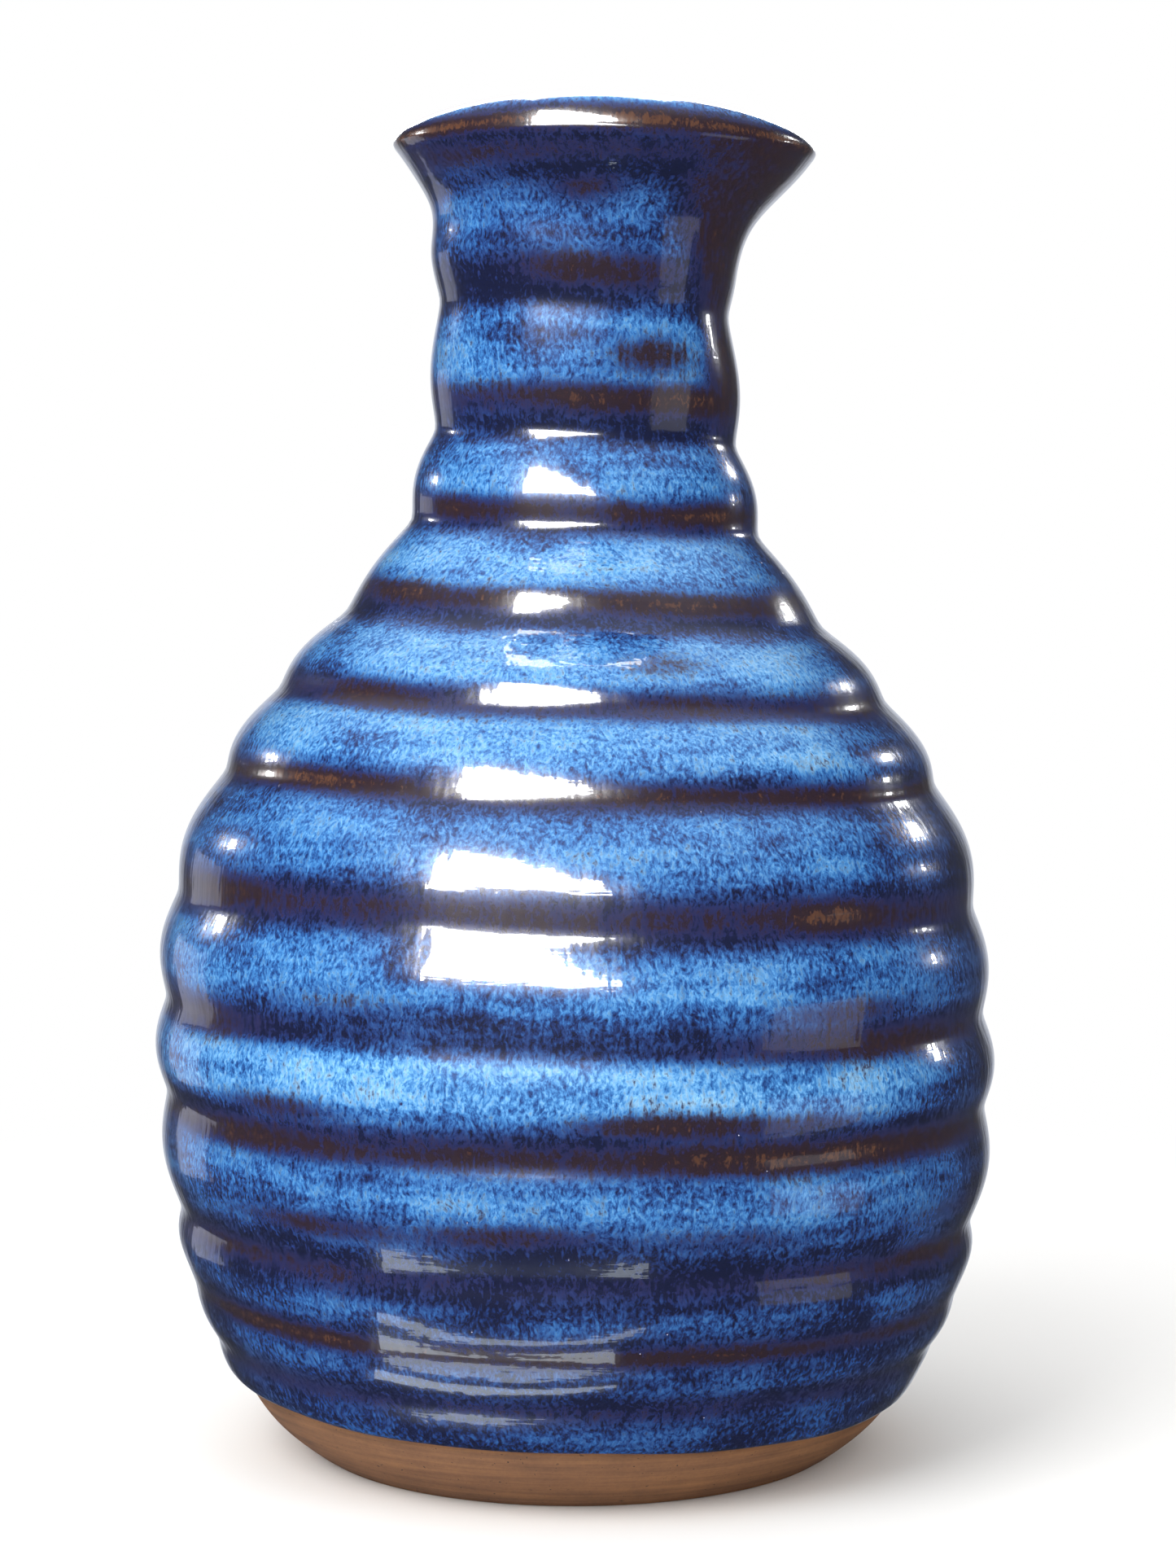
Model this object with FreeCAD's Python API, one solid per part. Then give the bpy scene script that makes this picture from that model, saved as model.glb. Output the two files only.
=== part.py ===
import FreeCAD, Part
import math
import os

# A wheel-thrown stoneware bottle vase: clay body, glaze coat outside, glaze lining inside.
# Millimetres. +Z is up, the table is z = 0 and the foot's centre is the origin. The front is toward -Y.

# Heights, stacked from the table upward
bellyHeight = 44.0        # table to the widest ring
shoulderRise = 90.0       # widest ring to the narrowest ring of the neck
flareRise = 19.6          # narrowest ring to the lip's outer edge
lipHeight = 3.1           # lip's outer edge to its top, all round on average
bareBandHeight = 7.5      # unglazed clay at the foot

# Radii over the glaze, halfway between a ridge's crest and its groove
footRadius = 31.4
bellyRadius = 49.7
neckRadius = 17.5
lipRadius = 24.9

# Walls, foot and coats
wallThickness = 3.8       # fired clay, square to the surface
lipWidth = 6.2            # lip from its outer edge to the inside of the flare, over the glaze
floorThickness = 4.5
floorRadius = 24.0        # flat part of the floor inside
recessDepth = 2.5         # the foot is turned hollow, so it stands on a ring
footRingWidth = 4.4
coatThickness = 0.7       # glaze outside
beadThickness = 0.95      # rolled edge where the glaze stopped running
beadWidth = 1.6
liningThickness = 0.6     # glaze inside

# Finger ridges, thrown from the foot up
ridgeDepth = 1.2          # crest to groove
insideRidgeShare = 0.45   # how much of a ridge shows inside
# Each groove: its level (1 is the belly, 2 the neck, 3 the lip) and its depth beside ridgeDepth
grooves = [
    (0.31, 0.35), (0.445, 0.25), (0.645, 0.9), (0.96, 0.95), (1.104, 0.95), (1.243, 0.9), (1.398, 1.0),
    (1.505, 0.85), (1.603, 1.0), (1.723, 1.1), (1.844, 1.05), (2.065, 0.75),
]

# How the hands left it: off round and off level
ringDrop = 1.0            # each ring above the foot sits this much lower at +X and higher at -X
lipDrop = 0.6             # the same at the lip
lipSaddle = 1.05          # the lip's top rises this much at front and back and dips at both sides
neckLean = 1.15           # the neck leans to +X
flareLean = 2.3           # and the flare is pulled over further

# Outline between the named radii: (level, share of the way from one named radius to the next)
outline = [
    (0.0, 0.0), (0.08, 0.262), (0.17, 0.452), (0.364, 0.71), (0.636, 0.896),
    (1.0, 1.0), (1.156, 0.022), (1.311, 0.107), (1.444, 0.285), (1.556, 0.517), (1.667, 0.785),
    (1.778, 0.93), (1.889, 0.983), (2.0, 1.0), (2.4, 0.065), (2.65, 0.272), (2.85, 0.687), (3.0, 1.0),
]
ringPoles = 24

levelHeights = [0.0, bellyHeight, bellyHeight + shoulderRise, bellyHeight + shoulderRise + flareRise]
levelRadii = [footRadius, bellyRadius, neckRadius, lipRadius]
edgeHeight = levelHeights[3]
floorHeight = recessDepth + floorThickness


def heightOf(level):
    span = min(int(level), 2)
    return levelHeights[span] + (levelHeights[span + 1] - levelHeights[span]) * (level - span)


def outlineRadius(level, share):
    span = 2 if level > 2 else (1 if level > 1 else 0)
    return levelRadii[span] + (levelRadii[span + 1] - levelRadii[span]) * share


def ease(start, end, value):
    t = min(max((value - start) / (end - start), 0.0), 1.0)
    return t * t * (3.0 - 2.0 * t)


def curveThrough(points):
    curve = Part.BSplineCurve()
    curve.interpolate(Points=[FreeCAD.Vector(r, 0.0, z) for r, z in points])
    return curve


outlineCurve = Part.BSplineCurve()
outlineCurve.interpolate(
    Points=[FreeCAD.Vector(outlineRadius(level, share), 0.0, heightOf(level)) for level, share in outline],
    Parameters=[heightOf(level) for level, share in outline],
)
valleys = [(heightOf(0.12), 0.0)] + [(heightOf(at), depth * ridgeDepth) for at, depth in grooves]
valleys.append((heightOf(2.75), 0.0))


def plainRadius(height):
    return outlineCurve.value(min(max(height, 0.0), edgeHeight)).x


def ridge(height):
    # A round bulge between two narrower grooves, both deep as their own groove says.
    if height <= valleys[0][0] or height >= valleys[-1][0]:
        return 0.0
    for (low, lowDepth), (high, highDepth) in zip(valleys, valleys[1:]):
        if height <= high:
            u = (height - low) / (high - low)
            depth = lowDepth + (highDepth - lowDepth) * ease(0.0, 1.0, u)
            bulge = math.sqrt(math.sin(math.pi * u) ** 2 + 0.03) - math.sqrt(0.03)
            return depth * (bulge / (math.sqrt(1.03) - math.sqrt(0.03)) - 0.6)


def slopeNormal(radiusAt, height):
    low = max(height - 0.3, 0.0)
    high = min(height + 0.3, edgeHeight)
    run = radiusAt(high) - radiusAt(low)
    length = math.hypot(run, high - low)
    return (high - low) / length, -run / length


def glazedRadius(height):
    return plainRadius(height) + ridge(height)


def innerRidged(height):
    return plainRadius(height) + insideRidgeShare * ridge(height)


def under(radiusAt, height, depth):
    # The point this deep below a surface, square to it.
    nr, nz = slopeNormal(radiusAt, height)
    return radiusAt(height) - depth * nr, height - depth * nz


def lipPoint(degrees, depth):
    a = math.radians(degrees)
    centre = lipRadius - lipWidth / 2.0
    return centre + (lipWidth / 2.0 - depth) * math.cos(a), edgeHeight + (lipHeight - depth) * math.sin(a)


def ridgeHeights(start, end):
    # Six stops on every ridge, so that the curve keeps each bulge and each groove.
    stops = []
    marks = [h for h, depth in valleys]
    for low, high in zip(marks, marks[1:]):
        stops += [low + (high - low) * k / 6.0 for k in range(6)]
    stops += [marks[-1] + (edgeHeight - marks[-1]) * k / 3.0 for k in range(3)]
    return [h for h in stops if start < h < end]


lipTurns = [15, 35, 55, 75, 95, 115, 135, 150]    # the coat ends and the lining starts at the last
jointTurn = lipTurns[-1]
insideTurns = [160, 170]

bandClay = [(plainRadius(0.0), 0.0)]
for k in range(1, 6):
    h = bareBandHeight * k / 5.0
    bandClay.append((plainRadius(h) - coatThickness * k / 5.0, h))
glazeStart = bandClay[-1]

coatHeights = ridgeHeights(bareBandHeight + beadWidth, edgeHeight - 1.0)
outsideClay = [glazeStart]
outsideGlaze = [glazeStart]
for k in range(1, 5):
    h = bareBandHeight + beadWidth * k / 4.0
    outsideClay.append((glazedRadius(h) - coatThickness, h))
    nr, nz = slopeNormal(glazedRadius, h)
    roll = beadThickness * math.sin(math.radians(38.0 * k)) ** 0.6 if k < 4 else coatThickness + 0.05
    outsideGlaze.append((outsideClay[-1][0] + roll * nr, h + roll * nz))
for h in coatHeights:
    outsideClay.append(under(glazedRadius, h, coatThickness))
    outsideGlaze.append((glazedRadius(h), h))
for degrees in lipTurns:
    outsideClay.append(lipPoint(degrees, coatThickness))
    outsideGlaze.append(lipPoint(degrees, 0.0))

wallHeights = [h for h in ridgeHeights(bellyHeight * 0.36, edgeHeight - 1.5)][::-2]


def insideProfile(lipDepth, wallDepth, floorTop):
    points = [lipPoint(jointTurn, lipDepth)] + [lipPoint(degrees, lipDepth) for degrees in insideTurns]
    for h in wallHeights:
        share = ease(edgeHeight, edgeHeight - 12.0, h) if edgeHeight - 12.0 < h else 1.0
        lipSide = lipWidth - lipDepth
        nr, nz = slopeNormal(innerRidged, h)
        straight = (innerRidged(h) - lipSide, h)
        square = (innerRidged(h) - wallDepth * nr, h - wallDepth * nz)
        points.append((straight[0] + (square[0] - straight[0]) * share, straight[1] + (square[1] - straight[1]) * share))
    lowRadius, lowHeight = points[-1]
    for degrees in (22, 38, 54, 70, 90):
        a = math.radians(degrees)
        points.append((
            floorRadius + (lowRadius - floorRadius) * math.cos(a),
            lowHeight - (lowHeight - floorTop) * math.sin(a),
        ))
    return points


insideClay = insideProfile(coatThickness, coatThickness + wallThickness, floorHeight)
insideGlaze = insideProfile(0.0, coatThickness + wallThickness + liningThickness, floorHeight + liningThickness)

ringInner = footRadius - footRingWidth
recessWall = [
    (ringInner, 0.0), (ringInner - 0.5, recessDepth * 0.35), (ringInner - 1.3, recessDepth * 0.75),
    (ringInner - 2.8, recessDepth),
]


def lean(height):
    neck = neckLean * ease(heightOf(1.15), heightOf(1.7), height)
    return neck + flareLean * ease(heightOf(2.3), heightOf(2.95), height)


def drop(height):
    # Level up to the floor inside and the edge of the glaze, so that both lie flat.
    level = max(bareBandHeight, floorHeight + liningThickness)
    body = ringDrop * ease(level, level + 16.0, height)
    return body + (lipDrop - ringDrop) * ease(heightOf(2.2), heightOf(2.9), height)


def saddle(height):
    return lipSaddle * ease(edgeHeight - 0.5, edgeHeight + lipHeight, height)


def ringSurface(points):
    # Sweeps a profile round the axis. Every ring of poles is shifted and tipped as the thrown wall is.
    profile = curveThrough(points)
    rows = []
    # Poles stand this much outside the curve they draw, once round and twice round.
    swell = 3.0 / (2.0 + math.cos(2.0 * math.pi / ringPoles))
    swellTwice = 3.0 / (2.0 + math.cos(4.0 * math.pi / ringPoles))
    for k in range(ringPoles):
        a = 2.0 * math.pi * k / ringPoles
        row = []
        for pole in profile.getPoles():
            outer = plainRadius(pole.z)
            x = lean(pole.z) + pole.x * swell * math.cos(a)
            z = pole.z - drop(pole.z) * pole.x / outer * swell * math.cos(a)
            z -= saddle(pole.z) * swellTwice * math.cos(2.0 * a)
            row.append(FreeCAD.Vector(x, pole.x * swell * math.sin(a), z))
        rows.append(row)
    surface = Part.BSplineSurface()
    surface.buildFromPolesMultsKnots(
        rows, [1] * (ringPoles + 1), profile.getMultiplicities(),
        list(range(ringPoles + 1)), profile.getKnots(), True, False, 3, profile.Degree,
    )
    return surface


def ringFace(points):
    return ringSurface(points).toShape()


def rimEdge(face, height):
    # The closed edge of a face that lies level at this height.
    for edge in face.Edges:
        box = edge.BoundBox
        if box.ZLength < 0.001 and abs(box.ZMin - height) < 0.001 and box.XLength > 1.0:
            return edge


def disc(face, height):
    return Part.Face(Part.Wire([rimEdge(face, height)]))


def closedSolid(faces):
    shell = Part.Shell(faces)
    shell.sewShape()
    solid = Part.Solid(shell)
    if solid.Volume < 0:
        solid.reverse()
    return solid


def writeStep(name, solid):
    solid.exportStep("parts/" + name + ".step")
    print(name, "valid", solid.isValid(), "volume", round(solid.Volume, 1), "faces", len(solid.Faces))


bandFace = ringFace(bandClay)
outsideClayFace = ringFace(outsideClay)
outsideGlazeFace = ringFace(outsideGlaze)
insideClayFace = ringFace(insideClay)
insideGlazeFace = ringFace(insideGlaze)
recessFace = ringFace(recessWall)


def straightRing(first, last):
    middle = ((first[0] + last[0]) / 2.0, (first[1] + last[1]) / 2.0)
    third = (first[0] + (last[0] - first[0]) / 3.0, first[1] + (last[1] - first[1]) / 3.0)
    return ringFace([first, third, middle, last])


jointFace = straightRing(lipPoint(jointTurn, coatThickness), lipPoint(jointTurn, 0.0))
standingRing = Part.makeFace(
    Part.Compound([Part.Wire([rimEdge(bandFace, 0.0)]), Part.Wire([rimEdge(recessFace, 0.0)])]),
    "Part::FaceMakerBullseye",
)

clayBody = closedSolid([
    standingRing, bandFace, outsideClayFace, insideClayFace, disc(insideClayFace, floorHeight),
    recessFace, disc(recessFace, recessDepth),
])
outerGlaze = closedSolid([outsideClayFace, outsideGlazeFace, jointFace])
linerGlaze = closedSolid([
    insideClayFace, insideGlazeFace, jointFace,
    disc(insideClayFace, floorHeight), disc(insideGlazeFace, floorHeight + liningThickness),
])

os.makedirs("parts", exist_ok=True)
writeStep("clay_body", clayBody)
writeStep("outer_glaze", outerGlaze)
writeStep("liner_glaze", linerGlaze)
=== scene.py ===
import math
import bpy
import numpy as np
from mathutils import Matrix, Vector


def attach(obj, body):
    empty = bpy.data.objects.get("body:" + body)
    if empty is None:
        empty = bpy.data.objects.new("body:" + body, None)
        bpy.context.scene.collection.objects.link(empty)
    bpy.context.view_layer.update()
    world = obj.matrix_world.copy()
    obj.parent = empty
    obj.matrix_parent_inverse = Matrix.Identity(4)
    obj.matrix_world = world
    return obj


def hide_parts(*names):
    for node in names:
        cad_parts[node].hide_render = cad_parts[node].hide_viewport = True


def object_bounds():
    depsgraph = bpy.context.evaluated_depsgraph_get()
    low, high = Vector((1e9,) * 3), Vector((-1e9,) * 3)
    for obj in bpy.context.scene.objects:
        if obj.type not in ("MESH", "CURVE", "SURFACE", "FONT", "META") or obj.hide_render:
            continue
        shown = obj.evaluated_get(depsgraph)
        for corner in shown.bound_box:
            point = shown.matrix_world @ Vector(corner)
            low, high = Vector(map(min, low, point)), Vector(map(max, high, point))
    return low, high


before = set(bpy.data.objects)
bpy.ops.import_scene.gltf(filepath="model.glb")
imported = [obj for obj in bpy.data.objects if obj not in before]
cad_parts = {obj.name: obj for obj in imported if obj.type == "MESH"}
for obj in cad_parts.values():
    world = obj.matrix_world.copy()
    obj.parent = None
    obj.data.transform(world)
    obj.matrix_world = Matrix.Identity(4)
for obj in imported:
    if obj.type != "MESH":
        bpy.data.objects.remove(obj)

cadLow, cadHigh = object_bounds()
body = "root"
mm = 0.001
print("frame loaded, CAD box in mm", [round(v / mm, 1) for v in (*cadLow, *cadHigh)])


def linear(hexColour):
    # sRGB hex to the linear values that shaders and lamps take
    parts = [int(hexColour[i:i + 2], 16) / 255 for i in (1, 3, 5)]
    return tuple(c / 12.92 if c <= 0.04045 else ((c + 0.055) / 1.055) ** 2.4 for c in parts) + (1.0,)


def addNode(tree, kind, settings=None, inputs=None):
    # settings go on the node, inputs on its sockets: a socket given as a value is linked
    node = tree.nodes.new(kind)
    for key, value in (settings or {}).items():
        if key == "stops":
            ramp = node.color_ramp
            while len(ramp.elements) < len(value):
                ramp.elements.new(0.5)
            for element, (place, colour) in zip(ramp.elements, value):
                element.position = place
                element.color = linear(colour)
        else:
            setattr(node, key, value)
    for key, value in (inputs or {}).items():
        if isinstance(value, bpy.types.NodeSocket):
            tree.links.new(value, node.inputs[key])
        else:
            node.inputs[key].default_value = value
    return node


def newMaterial(name):
    material = bpy.data.materials.new(name)
    material.use_nodes = True
    tree = material.node_tree
    tree.nodes.clear()
    return material, tree


def ease(start, end, value):
    t = np.clip((np.asarray(value, float) - start) / (end - start), 0.0, 1.0)
    return t * t * (3.0 - 2.0 * t)


# The thrown form, in mm, foot upward. One level is a named height: 0 foot, 1 belly, 2 neck, 3 lip edge.
potForm = {
    "heights": [0.0, 44.0, 134.0, 153.6],
    "radii": [31.4, 49.7, 17.5, 24.9],      # over the glaze, halfway up a ridge
    "outline": [                             # level and share of the way between two named radii
        (0.0, 0.0), (0.08, 0.262), (0.17, 0.452), (0.364, 0.71), (0.636, 0.896),
        (1.0, 1.0), (1.156, 0.022), (1.311, 0.107), (1.444, 0.285), (1.556, 0.517), (1.667, 0.785),
        (1.778, 0.93), (1.889, 0.983), (2.0, 1.0), (2.4, 0.065), (2.65, 0.272), (2.85, 0.687), (3.0, 1.0),
    ],
    "ridgeDepth": 1.2,
    "grooves": [                             # level and depth beside ridgeDepth
        (0.31, 0.35), (0.445, 0.25), (0.645, 0.9), (0.96, 0.95), (1.104, 0.95), (1.243, 0.9),
        (1.398, 1.0), (1.505, 0.85), (1.603, 1.0), (1.723, 1.1), (1.844, 1.05), (2.065, 0.75),
    ],
    "firstRidge": 0.12,
    "lastRidge": 2.75,
    "ridgeRound": 0.03,                      # how soft a groove's bottom is
    "ridgeCentre": 0.6,                      # share of a ridge's depth that the outline cuts off
    "insideRidgeShare": 0.45,
    "lipHeight": 3.1,
    "lipWidth": 6.2,
    "bareBand": 7.5,
    "recessDepth": 2.5,
    "standingRing": 4.4,
    "wall": 3.8,
    "coat": 0.7,
    "lining": 0.6,
    "floor": 4.5,
    "floorRadius": 24.0,
    "ringDrop": 1.0,                         # rings sit lower at +X
    "dropOver": 16.0,                        # mm of height in which that comes in
    "lipDrop": 0.6,                          # the same for the lip
    "lipDropLevels": (2.2, 2.9),
    "lipSaddle": 1.05,                       # the lip is up at the front and back, down at the sides
    "neckLean": 1.15,
    "neckLeanLevels": (1.15, 1.7),
    "flareLean": 2.3,
    "flareLeanLevels": (2.3, 2.95),
    "wobble": 0.12,                          # out of round, left by the fingers
    "sway": 0.25,                            # rings up and down, left by the fingers
    "looseOver": 20.0,                       # mm of height in which both come in
    "formAcross": 100.32,                    # this form's own size, which the CAD box then sets in metres
    "formTall": 157.78,
}


def heightOf(level):
    return float(np.interp(level, range(4), potForm["heights"]))


edgeHeight = potForm["heights"][3]
floorTop = potForm["recessDepth"] + potForm["floor"]
lipRadius = potForm["radii"][3]


def outlineSpline():
    # A natural cubic through the outline's points, as height and second derivative at each
    z = np.array([heightOf(level) for level, share in potForm["outline"]])
    spans = [min(max(int(math.ceil(level)) - 1, 0), 2) for level, share in potForm["outline"]]
    low = np.array([potForm["radii"][s] for s in spans])
    high = np.array([potForm["radii"][s + 1] for s in spans])
    r = low + (high - low) * np.array([share for level, share in potForm["outline"]])
    step = np.diff(z)
    grid = np.zeros((len(z), len(z)))
    right = np.zeros(len(z))
    grid[0, 0] = grid[-1, -1] = 1.0
    for k in range(1, len(z) - 1):
        grid[k, k - 1:k + 2] = step[k - 1], 2.0 * (step[k - 1] + step[k]), step[k]
        right[k] = 6.0 * ((r[k + 1] - r[k]) / step[k] - (r[k] - r[k - 1]) / step[k - 1])
    return z, r, np.linalg.solve(grid, right)


splineZ, splineR, splineBend = outlineSpline()


def plainRadius(height):
    h = np.clip(height, 0.0, edgeHeight)
    k = np.clip(np.searchsorted(splineZ, h) - 1, 0, len(splineZ) - 2)
    step = splineZ[k + 1] - splineZ[k]
    a = (splineZ[k + 1] - h) / step
    b = 1.0 - a
    bend = (a ** 3 - a) * splineBend[k] + (b ** 3 - b) * splineBend[k + 1]
    return a * splineR[k] + b * splineR[k + 1] + bend * step ** 2 / 6.0


valleyHeights = np.array(
    [heightOf(potForm["firstRidge"])] + [heightOf(level) for level, depth in potForm["grooves"]]
    + [heightOf(potForm["lastRidge"])]
)
valleyDepths = np.array(
    [0.0] + [depth * potForm["ridgeDepth"] for level, depth in potForm["grooves"]] + [0.0]
)


def ridgePlace(height):
    # Which ridge, and how far up it from its lower groove (0) to its upper one (1)
    k = np.clip(np.searchsorted(valleyHeights, height) - 1, 0, len(valleyHeights) - 2)
    return k, np.clip((height - valleyHeights[k]) / (valleyHeights[k + 1] - valleyHeights[k]), 0.0, 1.0)


def ridge(height):
    k, u = ridgePlace(height)
    depth = valleyDepths[k] + (valleyDepths[k + 1] - valleyDepths[k]) * ease(0.0, 1.0, u)
    soft = potForm["ridgeRound"]
    low, high = math.sqrt(soft), math.sqrt(1.0 + soft)
    bulge = (np.sqrt(np.sin(np.pi * u) ** 2 + soft) - low) / (high - low)
    inside = (height > valleyHeights[0]) & (height < valleyHeights[-1])
    return np.where(inside, depth * (bulge - potForm["ridgeCentre"]), 0.0)


def glazedRadius(height):
    return plainRadius(height) + ridge(height)


def innerRidged(height):
    return plainRadius(height) + potForm["insideRidgeShare"] * ridge(height)


def below(radiusAt, height, depth):
    # Points this deep under a surface of revolution, square to it
    low = np.clip(height - 0.3, 0.0, edgeHeight)
    high = np.clip(height + 0.3, 0.0, edgeHeight)
    run = radiusAt(high) - radiusAt(low)
    length = np.hypot(run, high - low)
    return radiusAt(height) - depth * (high - low) / length, height + depth * run / length


def lipArc(degrees, depth):
    a = np.radians(degrees)
    half = potForm["lipWidth"] / 2.0
    r = lipRadius - half + (half - depth) * np.cos(a)
    return r, edgeHeight + (potForm["lipHeight"] - depth) * np.sin(a)


def insidePath(lipDepth, wallDepth, floorHeight, stops):
    # From the joint on the lip down the inside to the floor's edge
    r, z = lipArc(np.linspace(150.0, 172.0, 6), lipDepth)
    h = np.linspace(edgeHeight - 1.5, potForm["heights"][1] * 0.36, stops)
    share = ease(edgeHeight, edgeHeight - 12.0, h)
    straight = innerRidged(h) - (potForm["lipWidth"] - lipDepth)
    squareR, squareZ = below(innerRidged, h, wallDepth)
    wallR = straight + (squareR - straight) * share
    wallZ = h + (squareZ - h) * share
    a = np.radians(np.linspace(12.0, 90.0, 14))
    flat = potForm["floorRadius"]
    floorR = flat + (wallR[-1] - flat) * np.cos(a)
    floorZ = wallZ[-1] - (wallZ[-1] - floorHeight) * np.sin(a)
    return np.concatenate([r, wallR, floorR]), np.concatenate([z, wallZ, floorZ])


def placeOnPot(r, z, around):
    # Shifts and tips every ring as the hands left it, then fits the CAD box
    r, z, around = np.broadcast_arrays(r, z, around)
    outer = plainRadius(z)
    level = max(potForm["bareBand"], floorTop + potForm["lining"])
    lipDropFrom, lipDropTo = (heightOf(v) for v in potForm["lipDropLevels"])
    neckFrom, neckTo = (heightOf(v) for v in potForm["neckLeanLevels"])
    flareFrom, flareTo = (heightOf(v) for v in potForm["flareLeanLevels"])
    drop = potForm["ringDrop"] * ease(level, level + potForm["dropOver"], z)
    drop = drop + (potForm["lipDrop"] - potForm["ringDrop"]) * ease(lipDropFrom, lipDropTo, z)
    saddle = potForm["lipSaddle"] * ease(edgeHeight - 0.5, edgeHeight + potForm["lipHeight"], z)
    lean = potForm["neckLean"] * ease(neckFrom, neckTo, z)
    lean = lean + potForm["flareLean"] * ease(flareFrom, flareTo, z)
    loose = ease(level, level + potForm["looseOver"], z) * (1.0 - ease(edgeHeight - 6.0, edgeHeight, z))
    wobble = potForm["wobble"] * loose * (
        np.sin(2.0 * around + z / 9.0) + 0.6 * np.sin(3.0 * around - z / 6.5 + 1.0)
    )
    sway = potForm["sway"] * loose * (
        np.sin(2.0 * around + z / 17.0 + 2.0) + 0.6 * np.sin(5.0 * around + z / 11.0)
    )
    share = r / np.maximum(outer, 1.0)
    x = lean + (r + wobble * share) * np.cos(around)
    y = (r + wobble * share) * np.sin(around)
    up = z - drop * share * np.cos(around) - saddle * np.cos(2.0 * around) + sway * share
    across = (cadHigh[0] - cadLow[0]) / potForm["formAcross"]
    tall = (cadHigh[2] - cadLow[2]) / potForm["formTall"]
    return np.stack([x * across, y * across, up * tall], axis=-1)


def turnedMesh(name, r, z, columns, closed, marks=None):
    # Sweeps a path round the axis. r and z are one value per ring, or a grid of rings by columns.
    around = np.arange(columns) * 2.0 * math.pi / columns
    if r.ndim == 1:
        r, z = r[:, None], z[:, None]
    points = placeOnPot(r, z, around[None, :])
    rings = points.shape[0]
    index = np.arange(rings * columns).reshape(rings, columns)
    upper = np.roll(index, -1, axis=0) if closed else index[1:]
    lower = index if closed else index[:-1]
    quads = np.stack([lower, np.roll(lower, -1, axis=1), np.roll(upper, -1, axis=1), upper], axis=-1)
    quads = quads.reshape(-1, 4)
    vertices = points.reshape(-1, 3)
    faces = [tuple(q) for q in quads.tolist()]
    if not closed:                           # both ends meet the axis, in a fan of triangles
        ends = np.array([[0.0, 0.0, points[0, 0, 2]], [0.0, 0.0, points[-1, 0, 2]]])
        vertices = np.concatenate([vertices, ends])
        first, last = len(vertices) - 2, len(vertices) - 1
        for j in range(columns):
            k = (j + 1) % columns
            faces.append((first, int(index[0, k]), int(index[0, j])))
            faces.append((last, int(index[-1, j]), int(index[-1, k])))
    mesh = bpy.data.meshes.new(name)
    mesh.from_pydata(vertices.tolist(), [], faces)
    mesh.polygons.foreach_set("use_smooth", [True] * len(mesh.polygons))
    for mark, values in (marks or {}).items():
        flat = np.zeros(len(vertices), np.float32)
        flat[:rings * columns] = np.broadcast_to(values, (rings, columns)).reshape(-1)
        mesh.attributes.new(mark, "FLOAT", "POINT").data.foreach_set("value", flat)
    mesh.validate()
    mesh.update()
    piece = bpy.data.objects.new(name, mesh)
    bpy.context.scene.collection.objects.link(piece)
    return piece


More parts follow.
